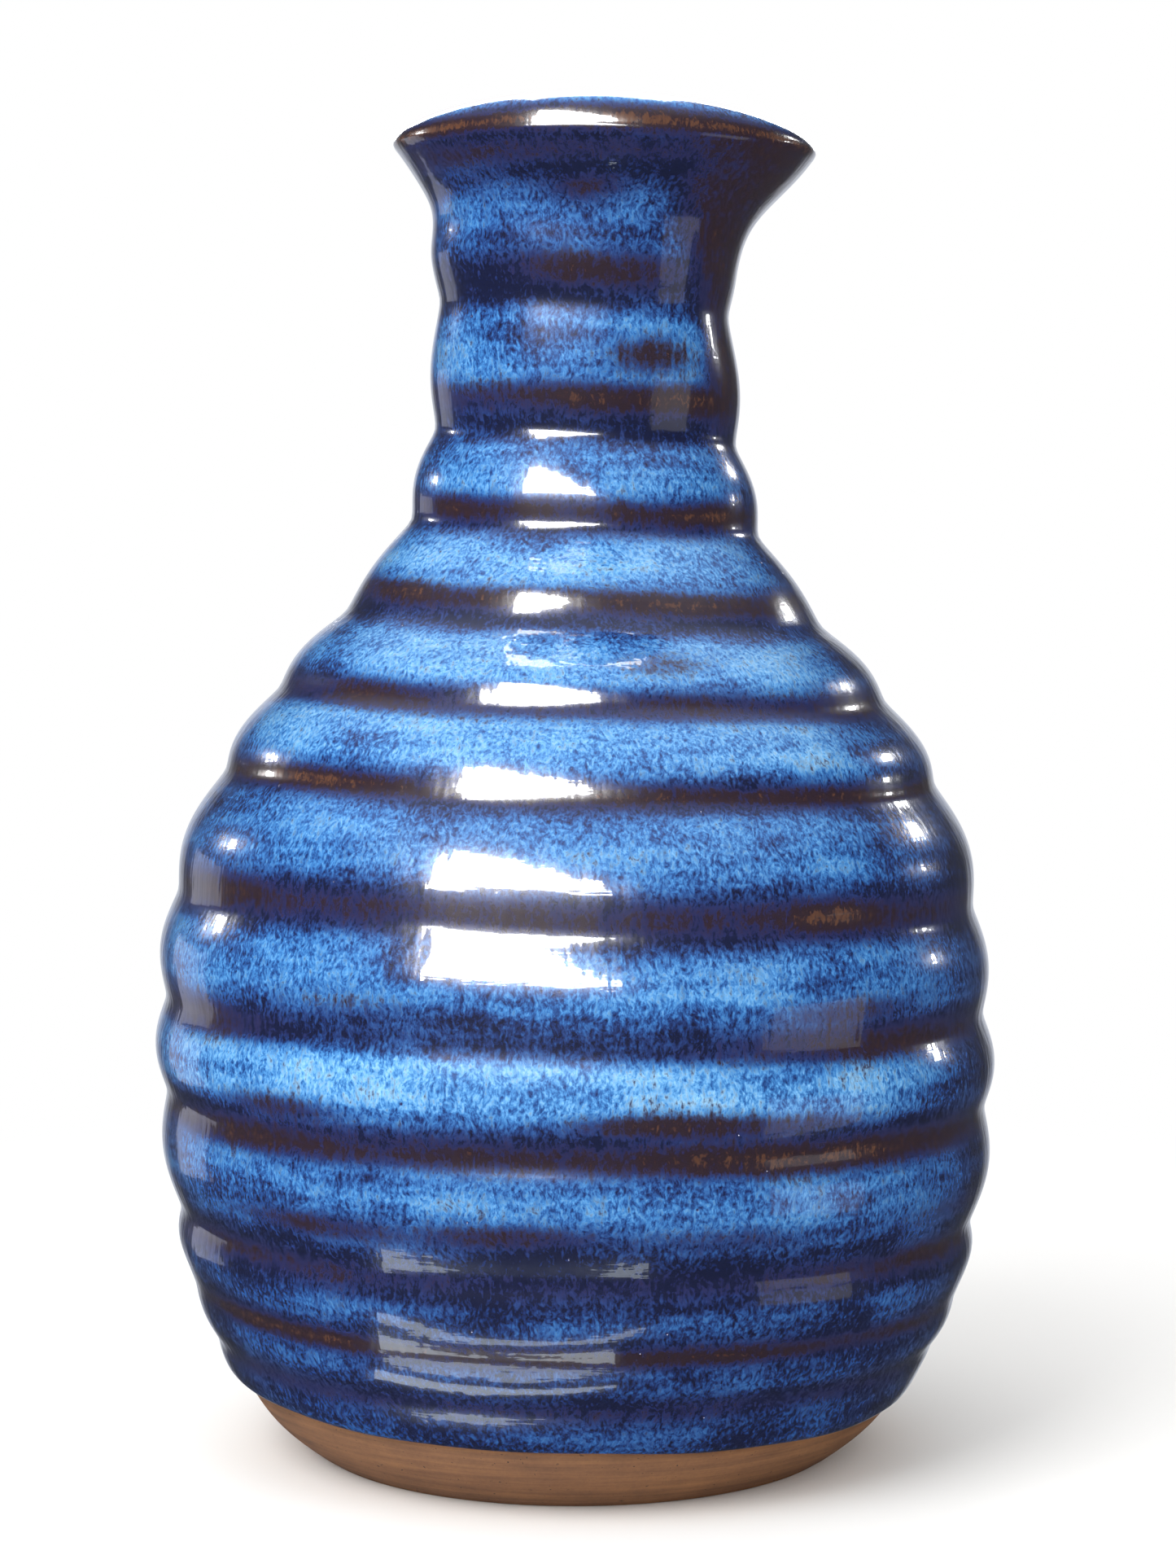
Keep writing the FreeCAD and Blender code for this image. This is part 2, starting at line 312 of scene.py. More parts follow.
# Outer glaze: a dipped coat, thick on the treads, thin where a ridge turns, rolled where it stopped
outerCoat = {
    "columns": 312,
    "rows": 200,
    "bead": 0.95,                            # mm thick at the rolled edge
    "beadWidth": 1.6,
    "lineUp": 0.45,                          # mm from the top of the bare band to the glaze line
    "lineWave": 0.16,                        # mm that the line wanders up and down
    "lineTilt": 0.75,                        # mm that it climbs towards -X
    "lineRise": (-92.0, 34.0, 1.7),          # one place where it stopped higher: degrees, width, mm
    "heavy": [(48.0, 16.0, 0.45), (-130.0, 25.0, 0.25)],   # thicker places on the roll: degrees, width, share
    # Brown breaks: height in mm, half width in mm, strength, and where they are stronger as
    # (degrees to the right of the front, half width in degrees, gain)
    "breaks": [
        (13.4, 1.5, 0.3, []),
        (20.0, 1.1, 0.42, [(0, 40, 0.45), (-55, 22, 0.4), (150, 60, 0.4)]),
        (28.2, 1.5, 0.28, [(-55, 18, 0.4), (62, 26, 0.4), (170, 40, 0.4)]),
        (33.4, 1.3, 0.05, [(-36, 10, 0.62), (-8, 9, 0.66), (20, 8, 0.3), (80, 20, 0.4), (160, 30, 0.6)]),
        (42.0, 1.8, 0.42, [(-50, 16, 0.42), (38, 34, 0.6), (-140, 30, 0.4)]),
        (45.8, 1.3, 0.0, [(-41, 8, 0.6), (12, 10, 0.85), (30, 10, 0.35), (110, 25, 0.6)]),
        (53.8, 2.0, 0.06, [(-60, 14, 0.6), (48, 22, 0.66), (170, 45, 0.5)]),
        (57.5, 1.6, 0.0, [(38, 9, 0.5), (-30, 12, 0.2)]),
        (67.6, 1.9, 0.44, [(-58, 12, 0.45), (-5, 18, 0.16), (36, 9, 0.5), (120, 50, 0.3)]),
        (80.5, 1.05, 0.78, [(-44, 14, 0.25), (30, 30, 0.1)]),
        (89.9, 1.4, 0.36, [(-42, 12, 0.45), (18, 10, 0.25), (60, 10, 0.4), (-150, 50, 0.4)]),
        (94.6, 1.3, 0.0, [(15, 8, 0.42)]),
        (101.2, 1.4, 0.58, [(-50, 14, 0.4), (-20, 8, 0.2), (24, 26, 0.35)]),
        (111.2, 1.4, 0.52, [(-46, 10, 0.4), (-14, 10, 0.25), (12, 6, 0.15), (46, 16, 0.5)]),
        (124.0, 1.7, 0.46, [(4, 20, 0.45), (44, 20, 0.5), (150, 50, 0.4)]),
        (129.0, 2.2, 0.02, [(24, 13, 0.6), (-120, 20, 0.6)]),
        (138.3, 1.9, 0.2, [(-8, 14, 0.6), (18, 12, 0.42), (150, 40, 0.6)]),
        (147.2, 1.4, 0.02, [(-4, 9, 0.55), (90, 30, 0.5), (-120, 40, 0.5)]),
        (151.2, 1.5, 0.4, []),
    ],
    # Where a throwing groove fades out: height, half height under and over it in mm, degrees from the
    # front, half width in degrees, mm filled
    "fills": [
        (137.0, 8.0, 14.0, -4, 62, 1.5),
    ],
    # How much of the ridges is smoothed away at the front, as (height, share), and how far round it goes
    "soft": [
        (14, 0.0), (26, 0.2), (33, 0.3), (41, 0.2), (43.5, 0.72), (56, 0.72), (59, 0.4), (67, 0.45),
        (71, 0.3), (82, 0.25), (87, 0.0),
    ],
    "softAt": (-4, 45),
    # Milk, the pale blue of a thick coat, to which painted light is added below: a start, then eased steps up
    # or down as (from mm, to mm, step)
    "milk": 0.34,
    "milkSteps": [(20.0, 33.0, 0.36), (42.0, 47.0, 0.34), (51.0, 57.0, -0.16), (78.0, 86.0, 0.12)],
    "milkDip": (57.0, 62.0, 74.0, 84.0, 0.1),   # mm: starts, full, ends, gone, step down
    # Shares of it lost over the neck and the flare, as (from mm, to mm, share)
    "milkFades": [(108.0, 116.0, 0.2), (136.0, 141.0, 0.35), (146.0, 151.0, 1.0)],
    # A painted sheen: one pale spot at the front, standing for soft light on the belly: mm, half height,
    # degrees, full within and gone by so many, strength
    "frontSheen": (53.5, 2.6, -6.0, 20.0, 42.0, 0.3),
    "darkLines": [(26.9, 1.8, 4, 0.45), (68.5, 3.0, 2, 0.25)],   # mm, half height, edge's power, strength
    "treadFrom": (0.06, 0.45),               # share of a ridge's height in which the milk comes in
    "treadTo": (0.82, 1.0, 0.8),             # and goes, and how much of it
    # Painted shade: less pale blue on the right side and on the left flank, where less light falls
    "rightShade": (34.0, 78.0, 130.0, 170.0, 0.8),   # degrees: starts, full, ends, gone, strength
    "leftShade": (-55.0, -85.0, 0.35),
    # Painted reflection: pale blue on the top of the lip's roll
    "lipTopSheen": 0.8,
    "lipBreak": 1.12,
    "lipCrest": (-0.15, 0.85, 0.95),         # mm from the edge's height, more at the front, half height
    # Painted shade on the flare's right side, put in as dark brown and less pale blue: its border's degrees
    # at the lip, degrees a mm lower down, and their limit
    "shadeBorder": (17.0, 1.5, 50.0),
    "shadeSoft": (-8.0, 16.0),
    "shadeEnd": (95.0, 120.0),
    "shadeHeights": (116.0, 128.0, 152.5, 154.0),
    "shadeBrown": 0.72,
    "shadeMilk": 0.5,
    # Small lumps: height, degrees, half height in mm, half width in mm, mm high
    "lumps": [
        (102.9, -6, 2.1, 13.0, 0.75), (92.8, -6, 2.1, 15.0, 0.75), (39.3, -5, 1.5, 8.0, 0.17),
        (61.0, -20, 3.5, 6.0, 0.12), (21.6, -6, 2.0, 14.0, 0.3),
    ],
}


def frontDegrees(around):
    return (np.degrees(around) + 90.0 + 180.0) % 360.0 - 180.0


def awayFrom(front, centre):
    return np.abs((front - centre + 180.0) % 360.0 - 180.0)


def breaksAndPaintedShade(height, around):
    front = frontDegrees(around)
    strength = np.zeros(np.broadcast(height, around).shape)
    for at, half, base, patches in outerCoat["breaks"]:
        gain = np.full(np.shape(front), float(base))
        for centre, width, add in patches:
            gain = gain + add * np.exp(-0.7 * (awayFrom(front, centre) / width) ** 2)
        band = np.exp(-np.abs((height - at) / half) ** 2.0)
        strength = np.maximum(strength, band * np.minimum(gain, 1.15))
    # The lip breaks brown along its widest line, and higher on the roll at the front
    rise, more, half = outerCoat["lipCrest"]
    crest = edgeHeight + rise + more * np.clip(np.cos(np.radians(front)), 0.0, 1.0)
    strength = np.maximum(strength, outerCoat["lipBreak"] * np.exp(-((height - crest) / half) ** 2.0))
    # The painted shade on the flare's right side goes into the brown as well
    return np.maximum(strength, outerCoat["shadeBrown"] * shadedSide(height, front))


def shadedSide(height, front):
    # Painted shade: the flare's right side is painted dark all over, from the lip down past the neck
    lipDegrees, slope, most = outerCoat["shadeBorder"]
    low, lowFull, highFull, high = outerCoat["shadeHeights"]
    border = np.minimum(lipDegrees + slope * (edgeHeight - height), most)
    side = ease(*outerCoat["shadeSoft"], front - border) * (1.0 - ease(*outerCoat["shadeEnd"], front))
    return side * ease(low, lowFull, height) * (1.0 - ease(highFull, high, height))


def milkAndPaintedLightAt(height, around):
    # Where the glaze lay thick enough to float its light blue: each ridge but its lower flank; less where
    # shade is painted on the sides and the flare, more where a sheen is painted at the front
    front = frontDegrees(around)
    k, u = ridgePlace(height)
    goes, gone, much = outerCoat["treadTo"]
    tread = ease(*outerCoat["treadFrom"], u) * (1.0 - much * ease(goes, gone, u))
    tall = outerCoat["milk"]
    for low, high, step in outerCoat["milkSteps"]:
        tall = tall + step * ease(low, high, height)
    dipFrom, dipIn, dipOut, dipTo, dip = outerCoat["milkDip"]
    tall = tall - dip * ease(dipFrom, dipIn, height) * (1.0 - ease(dipOut, dipTo, height))
    for low, high, share in outerCoat["milkFades"]:
        tall = tall * (1.0 - share * ease(low, high, height))
    # Painted shade: less pale blue on the right side and on the left flank
    starts, full, ends, gone, much = outerCoat["rightShade"]
    right = much * ease(starts, full, front) * (1.0 - ease(ends, gone, front))
    starts, full, much = outerCoat["leftShade"]
    left = much * ease(starts, full, front)
    # Painted sheen: a pale spot at the front of the belly
    at, half, centre, full, none, most = outerCoat["frontSheen"]
    sheen = most * np.exp(-((height - at) / half) ** 2) * (1.0 - ease(full, none, awayFrom(front, centre)))
    milk = tread * tall * (1.0 - right - left) * (1.0 - shadedSide(height, front)) + sheen
    for at, half, power, most in outerCoat["darkLines"]:
        milk = milk - most * np.exp(-((height - at) / half) ** power)
    return milk - outerCoat["shadeMilk"] * shadedSide(height, front)


def nearSide(front, centre, width):
    # 1 at the centre, 0 from one and a half widths away
    return 1.0 - ease(width * 0.5, width * 1.5, awayFrom(front, centre))


def handMarks(height, around):
    # Places where the hand left less of a groove, or a small lump, in mm outward
    front = frontDegrees(around)
    extra = np.zeros(np.broadcast(height, around).shape)
    for at, under, over, centre, width, fill in outerCoat["fills"]:
        away = (height - at) / np.where(height < at, under, over)
        extra = extra + fill * np.exp(-away ** 2) * nearSide(front, centre, width)
    softHeights, softShares = zip(*outerCoat["soft"])
    share = np.interp(height, softHeights, softShares)
    extra = extra - share * nearSide(front, *outerCoat["softAt"]) * ridge(height)
    for at, centre, half, wide, tall in outerCoat["lumps"]:
        side = np.radians(awayFrom(front, centre)) * glazedRadius(at) / wide
        extra = extra + tall * np.exp(-((height - at) / half) ** 2 - side ** 2)
    return extra


def buildOuterGlaze():
    columns = outerCoat["columns"]
    around = (np.arange(columns) * 2.0 * math.pi / columns)[None, :]
    front = frontDegrees(around)
    waves = np.sin(3 * around + 1.0) + 0.7 * np.sin(7 * around) + 0.4 * np.sin(13 * around + 2)
    start = potForm["bareBand"] + outerCoat["lineUp"] + outerCoat["lineWave"] * waves
    start = start - outerCoat["lineTilt"] * np.cos(around)
    centre, width, rise = outerCoat["lineRise"]
    start = start + rise * np.exp(-(awayFrom(front, centre) / width) ** 2)
    heavy = 1.0
    for centre, width, share in outerCoat["heavy"]:
        heavy = heavy + share * np.exp(-((front - centre) / width) ** 2)
    # The rolled edge, from where it meets the clay up to its full thickness, then the wall
    roll = np.linspace(0.0, 1.0, 12)[:, None]
    rollH = start + outerCoat["beadWidth"] * 0.62 * (1.0 - np.cos(roll * math.pi / 2.0))
    rollT = outerCoat["bead"] * heavy * np.sin(roll * math.pi / 2.0) ** 0.75
    settle = np.linspace(0.0, 1.0, outerCoat["rows"] + 1)[1:, None]
    wallH = rollH[-1:] + (edgeHeight - 0.25 - rollH[-1:]) * settle
    wallT = potForm["coat"] + (rollT[-1:] - potForm["coat"]) * (1.0 - ease(0.0, 3.0, wallH - rollH[-1:]))
    h = np.concatenate([rollH, wallH])
    t = np.concatenate([rollT, wallT])
    outR, outZ = below(glazedRadius, h, potForm["coat"] - t)
    outR = outR + handMarks(h, around)
    # Over the lip to the joint with the lining, and back down along the clay
    lipTurn = np.linspace(4.0, 150.0, 36)[:, None]
    lipR, lipZ = lipArc(lipTurn, 0.0)
    backTurn = np.linspace(150.0, 10.0, 8)[:, None]
    backR, backZ = lipArc(backTurn, potForm["coat"])
    down = np.linspace(0.0, 1.0, 34)[:, None]
    backH = edgeHeight - 1.0 + (start + 0.35 - edgeHeight + 1.0) * down
    underR, underZ = below(glazedRadius, backH, potForm["coat"])
    full = np.ones_like(around)
    r = np.concatenate([outR, lipR * full, backR * full, underR])
    z = np.concatenate([outZ, lipZ * full, backZ * full, underZ])
    heights = np.concatenate([h, lipZ * full, backZ * full, underZ])
    brown = breaksAndPaintedShade(heights, around)
    milk = milkAndPaintedLightAt(heights, around)
    # Painted reflection: the upward-facing top of the lip's roll is made pale, standing for the light it
    # mirrors from above
    lipTop = np.zeros_like(milk)
    lipTop[len(h):len(h) + len(lipTurn)] = ease(22.0, 50.0, lipTurn)
    milk = np.maximum(milk, outerCoat["lipTopSheen"] * lipTop)
    return turnedMesh("outerGlaze", r, z, columns, True, {"brown": brown, "milk": milk})


# Clay: bare at the foot, under glaze everywhere else
clayBody = {
    "columns": 256,
    "rows": 110,
    "insideRows": 80,
    "recessFlat": [4.0, 12.0, 20.0],         # rings of the recess, mm from the axis
    "recessRise": [                          # its curve: mm in from the standing ring, share of the depth
        (4.2, 1.0), (2.8, 0.98), (1.9, 0.85), (1.0, 0.5), (0.35, 0.12), (0.05, 0.0),
    ],
    "footRound": 0.45,                       # mm, the foot's outer corner
    "gap": 0.02,                             # mm between clay and glaze, so that neither shows through
}


def buildClay():
    foot = potForm["radii"][0]
    ring = foot - potForm["standingRing"]
    gap = clayBody["gap"]
    underR = np.array(clayBody["recessFlat"] + [ring - inward for inward, share in clayBody["recessRise"]])
    flatShares = [1.0] * len(clayBody["recessFlat"])
    underZ = np.array(flatShares + [share for inward, share in clayBody["recessRise"]])
    flatR = np.array([ring + 0.15, ring + 1.5, foot - 1.4, foot - 0.3])
    turn = np.radians(np.array([25.0, 50.0, 75.0]))
    edgeR = foot - 0.3 + clayBody["footRound"] * np.sin(turn)
    edgeZ = clayBody["footRound"] * (1.0 - np.cos(turn))
    bandH = np.linspace(0.75, potForm["bareBand"], 34)
    bandR = plainRadius(bandH) - potForm["coat"] * bandH / potForm["bareBand"]
    outH = np.linspace(potForm["bareBand"] + 0.5, edgeHeight - 0.8, clayBody["rows"])
    outR, outZ = below(glazedRadius, outH, potForm["coat"] + gap)
    lipR, lipZ = lipArc(np.linspace(10.0, 148.0, 14), potForm["coat"] + gap)
    depth = potForm["coat"] + potForm["wall"]
    inR, inZ = insidePath(potForm["coat"] + gap, depth - gap, floorTop - gap, clayBody["insideRows"])
    r = np.concatenate([underR, flatR, edgeR, bandR, outR, lipR, inR])
    z = np.concatenate([
        underZ * potForm["recessDepth"], np.zeros(len(flatR)), edgeZ, bandH, outZ, lipZ, inZ,
    ])
    return turnedMesh("clayBody", r, z, clayBody["columns"], False)


liner = {"columns": 224, "rows": 130}


def buildLiner():
    depth = potForm["coat"] + potForm["wall"]
    outR, outZ = insidePath(potForm["coat"], depth, floorTop, liner["rows"] // 2)
    inR, inZ = insidePath(0.0, depth + potForm["lining"], floorTop + potForm["lining"], liner["rows"])
    r = np.concatenate([outR[::-1], inR])
    z = np.concatenate([outZ[::-1], inZ])
    return turnedMesh("linerGlaze", r, z, liner["columns"], False)


clay = buildClay()
print("clay body turned,", len(clay.data.vertices), "points")
coat = buildOuterGlaze()
print("outer glaze laid,", len(coat.data.vertices), "points")
lining = buildLiner()
print("inner glaze laid,", len(lining.data.vertices), "points")

# Floating blue: a glossy stoneware glaze. Rutile makes pale curly flecks where it is thick, and iron
# shows through brown, fringed with purple, where it runs thin. A clear glass layer lies over it.
floatingBlue = {
    "tones": [
        (0.0, "#0E1535"), (0.2, "#182C60"), (0.38, "#245292"),
        (0.55, "#3A7CBE"), (0.72, "#66A6DC"), (0.95, "#A0D2F4"),
    ],
    "purple": "#252A5A",
    # Layers over the blues as the break grows: where it starts, where it is full, share, colour
    "layers": [(0.04, 0.5, 0.9, "#252A5A"), (0.28, 0.75, 0.95, "#2B1C20"), (0.85, 1.25, 0.55, "#6E482C")],
    "fleck": 0.42,                           # mm, one curly fleck
    "cloud": 11.0,                           # mm, a paler or darker patch
    "streak": 0.8,                           # mm across a run
    "ring": 2.4,                             # mm between faint level bands left by the fingers
    "line": 0.9,                             # mm between the finest throwing lines under the glass
    "peel": 2.2,                             # mm between dimples of the skin
    "pinholes": 3.6,                         # mm between pinholes that may open
    "bend": 3.0,                             # mm, how long the bends of a fleck are
    "bendBy": 1.6,                           # mm, how far they move it
    # What makes the tone, and what makes a break's edge ragged: a start and the weight of each pattern
    "toneStart": -1.77,
    "toneWeights": {
        "milk": 0.56, "clouds": 0.85, "grains": 1.3, "curls": 0.12, "streaks": 0.5, "rings": 0.75,
    },
    "ragStart": -2.25,
    "ragWeights": {"streaks": 1.2, "grains": 1.7, "clouds": 0.9, "rings": 0.7},
    "rag": 0.75,
}


def floatingBlueGlaze(spec):
    material, tree = newMaterial("floatingBlueGlaze")
    place = addNode(tree, "ShaderNodeTexCoord").outputs["Object"]
    brown = addNode(tree, "ShaderNodeAttribute", {"attribute_name": "brown"}).outputs["Fac"]
    milk = addNode(tree, "ShaderNodeAttribute", {"attribute_name": "milk"}).outputs["Fac"]
    bender = addNode(tree, "ShaderNodeTexNoise", None, {
        "Vector": place, "Scale": 1 / (spec["bend"] * mm), "Detail": 2.0,
    })
    bendBy = spec["bendBy"] * mm
    bent = addNode(tree, "ShaderNodeVectorMath", {"operation": "MULTIPLY_ADD"}, {
        0: bender.outputs["Color"], 1: (bendBy, bendBy, bendBy), 2: place,
    })
    tall = addNode(tree, "ShaderNodeMapping", None, {"Vector": bent.outputs[0], "Scale": (1.0, 1.0, 0.6)})
    runs = addNode(tree, "ShaderNodeMapping", None, {"Vector": place, "Scale": (1.0, 1.0, 0.16)})
    flat = addNode(tree, "ShaderNodeMapping", None, {"Vector": place, "Scale": (0.12, 0.12, 1.0)})
    curls = addNode(tree, "ShaderNodeTexNoise", {"noise_type": "RIDGED_MULTIFRACTAL"}, {
        "Vector": tall.outputs[0], "Scale": 1 / (spec["fleck"] * 1.7 * mm), "Detail": 2.5,
        "Roughness": 0.6, "Offset": 0.9, "Gain": 1.6,
    })
    patterns = {"milk": milk, "curls": curls.outputs["Fac"]}
    for name, vector, span, detail, roughness in (
        ("grains", tall.outputs[0], spec["fleck"], 3.0, 0.65),
        ("clouds", place, spec["cloud"], 4.0, 0.55),
        ("streaks", runs.outputs[0], spec["streak"], 3.0, 0.6),
        ("rings", flat.outputs[0], spec["ring"], 2.0, 0.5),
        ("peel", runs.outputs[0], spec["peel"], 2.0, 0.5),
        ("lines", flat.outputs[0], spec["line"], 2.0, 0.5),
    ):
        patterns[name] = addNode(tree, "ShaderNodeTexNoise", None, {
            "Vector": vector, "Scale": 1 / (span * mm), "Detail": detail, "Roughness": roughness,
        }).outputs["Fac"]
    # Tone: pale where thick and where light is painted, darker where shade is painted, broken by flecks,
    # clouds, runs and level bands
    tone = spec["toneStart"]
    for name, weight in spec["toneWeights"].items():
        tone = addNode(tree, "ShaderNodeMath", {"operation": "MULTIPLY_ADD"}, {
            0: patterns[name], 1: weight, 2: tone,
        }).outputs[0]
    colour = addNode(tree, "ShaderNodeValToRGB", {"stops": spec["tones"]}, {"Fac": tone}).outputs[0]
    # Break: the attribute, brown breaks with painted shade in them, made ragged by runs and grains
    rag = spec["ragStart"]
    for name, weight in spec["ragWeights"].items():
        rag = addNode(tree, "ShaderNodeMath", {"operation": "MULTIPLY_ADD"}, {
            0: patterns[name], 1: weight, 2: rag,
        }).outputs[0]
    broken = addNode(tree, "ShaderNodeMath", {"operation": "MULTIPLY_ADD"}, {
        0: rag, 1: spec["rag"], 2: brown,
    })
    for start, full, most, shade in spec["layers"]:
        share = addNode(tree, "ShaderNodeMapRange", {"interpolation_type": "SMOOTHSTEP"}, {
            "Value": broken.outputs[0], "From Min": start, "From Max": full, "To Max": most,
        })
        colour = addNode(tree, "ShaderNodeMix", {"data_type": "RGBA"}, {
            0: share.outputs[0], 6: colour, 7: linear(shade),
        }).outputs[2]
    # Pinholes: some of the cells' centres, dark and pitted
    cells = addNode(tree, "ShaderNodeTexVoronoi", None, {
        "Vector": place, "Scale": 1 / (spec["pinholes"] * mm),
    })
    near = addNode(tree, "ShaderNodeMapRange", None, {
        "Value": cells.outputs["Distance"], "From Min": 0.055, "From Max": 0.03,
    })
    chosen = addNode(tree, "ShaderNodeSeparateColor", None, {0: cells.outputs["Color"]})
    some = addNode(tree, "ShaderNodeMath", {"operation": "GREATER_THAN"}, {0: chosen.outputs[0], 1: 0.6})
    pinhole = addNode(tree, "ShaderNodeMath", {"operation": "MULTIPLY"}, {
        0: near.outputs[0], 1: some.outputs[0],
    })
    pitted = addNode(tree, "ShaderNodeMix", {"data_type": "RGBA"}, {
        0: pinhole.outputs[0], 6: colour, 7: linear(spec["purple"]),
    })
    # Relief: dimples and pits, then the finest lines under the clear layer and the grains in the colour
    skin = addNode(tree, "ShaderNodeBump", None, {
        "Strength": 0.5, "Distance": 0.15 * mm, "Height": patterns["peel"],
    })
    pit = addNode(tree, "ShaderNodeBump", {"invert": True}, {
        "Strength": 0.8, "Distance": 0.15 * mm, "Height": pinhole.outputs[0], "Normal": skin.outputs[0],
    })
    lined = addNode(tree, "ShaderNodeBump", None, {
        "Strength": 0.6, "Distance": 0.05 * mm, "Height": patterns["lines"], "Normal": pit.outputs[0],
    })
    fine = addNode(tree, "ShaderNodeBump", None, {
        "Strength": 0.25, "Distance": 0.03 * mm, "Height": patterns["grains"], "Normal": pit.outputs[0],
    })
    glaze = addNode(tree, "ShaderNodeBsdfPrincipled", None, {
        "Base Color": pitted.outputs[2], "Roughness": 0.22, "IOR": 1.5, "Normal": fine.outputs[0],
        "Coat Weight": 1.0, "Coat Roughness": 0.03, "Coat IOR": 1.5, "Coat Normal": lined.outputs[0],
    })
    addNode(tree, "ShaderNodeOutputMaterial", None, {"Surface": glaze.outputs[0]})
    return material


# Bare stoneware: iron-bearing clay fired dry and matt, turned on the wheel, so it has fine level lines
bareClay = {
    "tones": [(0.25, "#4E301C"), (0.5, "#7C5230"), (0.75, "#9A6A3C")],
    "speck": "#3A2418",
    "line": 0.9,                             # mm between turning lines, twice the real so that they show
    "blotch": 6.0,                           # mm, a patch fired darker
    "grit": 0.5,                             # mm, a grain
    "weights": {"lines": 0.6, "blotch": 0.25, "grit": 0.15},
}


def turnedStoneware(spec):
    material, tree = newMaterial("turnedStoneware")
    place = addNode(tree, "ShaderNodeTexCoord").outputs["Object"]
    level = addNode(tree, "ShaderNodeMapping", None, {"Vector": place, "Scale": (0.03, 0.03, 1.0)})
    patterns = {}
    for name, vector, span, detail, roughness in (
        ("lines", level.outputs[0], spec["line"], 4.0, 0.7),
        ("blotch", place, spec["blotch"], 4.0, 0.5),
        ("grit", place, spec["grit"], 2.0, 0.5),
    ):
        patterns[name] = addNode(tree, "ShaderNodeTexNoise", None, {
            "Vector": vector, "Scale": 1 / (span * mm), "Detail": detail, "Roughness": roughness,
        }).outputs["Fac"]
    mixed = 0.0
    for name, weight in spec["weights"].items():
        mixed = addNode(tree, "ShaderNodeMath", {"operation": "MULTIPLY_ADD"}, {
            0: patterns[name], 1: weight, 2: mixed,
        }).outputs[0]
    tones = addNode(tree, "ShaderNodeValToRGB", {"stops": spec["tones"]}, {"Fac": mixed})
    specks = addNode(tree, "ShaderNodeMapRange", None, {
        "Value": patterns["grit"], "From Min": 0.68, "From Max": 0.74,
    })
    colour = addNode(tree, "ShaderNodeMix", {"data_type": "RGBA"}, {
        0: specks.outputs[0], 6: tones.outputs[0], 7: linear(spec["speck"]),
    })
    relief = addNode(tree, "ShaderNodeBump", None, {
        "Strength": 0.6, "Distance": 0.08 * mm, "Height": mixed,
    })
    dry = addNode(tree, "ShaderNodeBsdfPrincipled", None, {
        "Base Color": colour.outputs[2], "Roughness": 0.82, "IOR": 1.5, "Normal": relief.outputs[0],
    })
    addNode(tree, "ShaderNodeOutputMaterial", None, {"Surface": dry.outputs[0]})
    return material


# Inside: the same glaze poured in and out again, thinner and darker
pouredGlaze = {"tones": [(0.3, "#141B46"), (0.55, "#1F3B80"), (0.8, "#3566AE")], "fleck": 1.4}


def pouredLining(spec):
    material, tree = newMaterial("pouredLiningGlaze")
    place = addNode(tree, "ShaderNodeTexCoord").outputs["Object"]
    runs = addNode(tree, "ShaderNodeMapping", None, {"Vector": place, "Scale": (1.0, 1.0, 0.4)})
    flecks = addNode(tree, "ShaderNodeTexNoise", None, {
        "Vector": runs.outputs[0], "Scale": 1 / (spec["fleck"] * mm), "Detail": 5.0, "Roughness": 0.65,
    })
    tones = addNode(tree, "ShaderNodeValToRGB", {"stops": spec["tones"]}, {"Fac": flecks.outputs["Fac"]})
    skin = addNode(tree, "ShaderNodeBump", None, {
        "Strength": 0.3, "Distance": 0.06 * mm, "Height": flecks.outputs["Fac"],
    })
    glaze = addNode(tree, "ShaderNodeBsdfPrincipled", None, {
        "Base Color": tones.outputs[0], "Roughness": 0.15, "IOR": 1.5, "Normal": skin.outputs[0],
        "Coat Weight": 1.0, "Coat Roughness": 0.04, "Coat IOR": 1.5,
    })
    addNode(tree, "ShaderNodeOutputMaterial", None, {"Surface": glaze.outputs[0]})
    return material


for piece, node, slotName, material in (
    (clay, "clay_body", "stoneware", turnedStoneware(bareClay)),
    (coat, "outer_glaze", "outer_glaze", floatingBlueGlaze(floatingBlue)),
    (lining, "liner_glaze", "liner_glaze", pouredLining(pouredGlaze)),
):
    piece.data.materials.append(material)
    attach(piece, body)
    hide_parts(node)
print("materials set")

# Studio: a pale floor, a window-shaped card at the front left, small lamps behind, a soft ceiling
studio = {
    "floor": "#F1F0EE",
    "floorSize": 3.0,
    "floorFade": (0.05, 0.24),               # metres from the axis in which the floor goes white
    "aim": (0.0, 0.0, 0.075),
    "reach": 6.0,                            # metres from the vase to the cards
    "lampReach": 1.1,
    "table": 4.2,                            # brightness of the lit table close in front
    "lipCard": 9.0,
    "lamp": 40.0,
    "fill": 10.0,
    # World light: what the glaze mirrors, then what falls on everything
    "ceiling": (0.45, 0.95, 0.7),            # upward from, to, strength
    "backdrop": (0.86, 0.99, 0.7),           # the same, backward
    "room": 0.06,
    "shade": 0.34,                           # diffuse light from every side
    "open": 0.42,                            # and what the left and the top add
}
# Cards that only the glaze sees, far away: name, corners as degrees right and up, colour, brightness
farCards = [
    ("windowCard", [(-41, 13.5), (-40, 44), (-33, 44), (12, 18), (12, 16)], "#FFFFFF", 30.0),
    ("greyCard", [(53, -21), (53, -3), (84, -3), (84, -21)], "#D8D6DA", 0.85),
    ("lipCard", [(168, 9), (168, 70), (-168, 70), (-168, 9)], "#FFFFFF", studio["lipCard"]),
    ("softCard", [(-120, -16), (-120, 4), (-142, 4), (-142, -16)], "#D9DCEC", 0.8),
]
